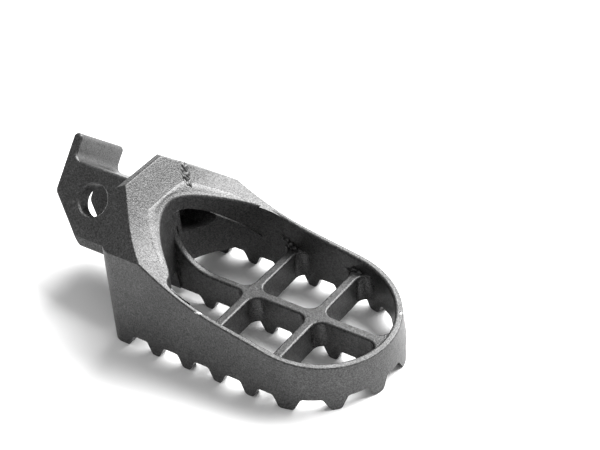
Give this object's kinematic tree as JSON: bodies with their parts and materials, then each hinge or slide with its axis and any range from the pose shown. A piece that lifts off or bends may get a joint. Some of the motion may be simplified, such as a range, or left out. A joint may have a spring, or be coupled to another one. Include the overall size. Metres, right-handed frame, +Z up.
{
  "type": "foot peg",
  "caption": "Wide toothed motorcycle foot peg with an open well, crossing bars and a tilted two-eared pivot tongue that ends in a stop hook.",
  "frame": {"origin": "middle of the bounding box's footprint, on the plane of the tooth tips", "axes": "+X outboard along the peg, away from the pivot; +Y across it, towards the side whose gusset has the pocket; +Z up from the tooth tips towards the collar"},
  "size_m": [0.1225, 0.055, 0.0475],
  "materials": {
    "black_coat": "satin",
    "coated_weld": "satin"
  },
  "bodies": {
    "root": {"side_wall_near": "black_coat", "side_wall_far": "black_coat", "end_band": "black_coat", "end_plate": "black_coat", "sloped_collar": "black_coat", "corner_gusset_near": "black_coat", "corner_gusset_far": "black_coat", "crossbar_inner": "black_coat", "crossbar_outer": "black_coat", "rib_inboard": "black_coat", "rib_middle": "black_coat", "rib_outboard": "black_coat", "crossing_welds_inner": "coated_weld", "crossing_welds_outer": "coated_weld", "wall_welds_inner": "coated_weld", "wall_welds_outer": "coated_weld", "rib_end_welds": "coated_weld", "upper_ear": "black_coat", "lower_ear": "black_coat", "tongue_web": "black_coat", "stop_hook": "black_coat", "root_weld": "coated_weld"}
  },
  "joints": []
}
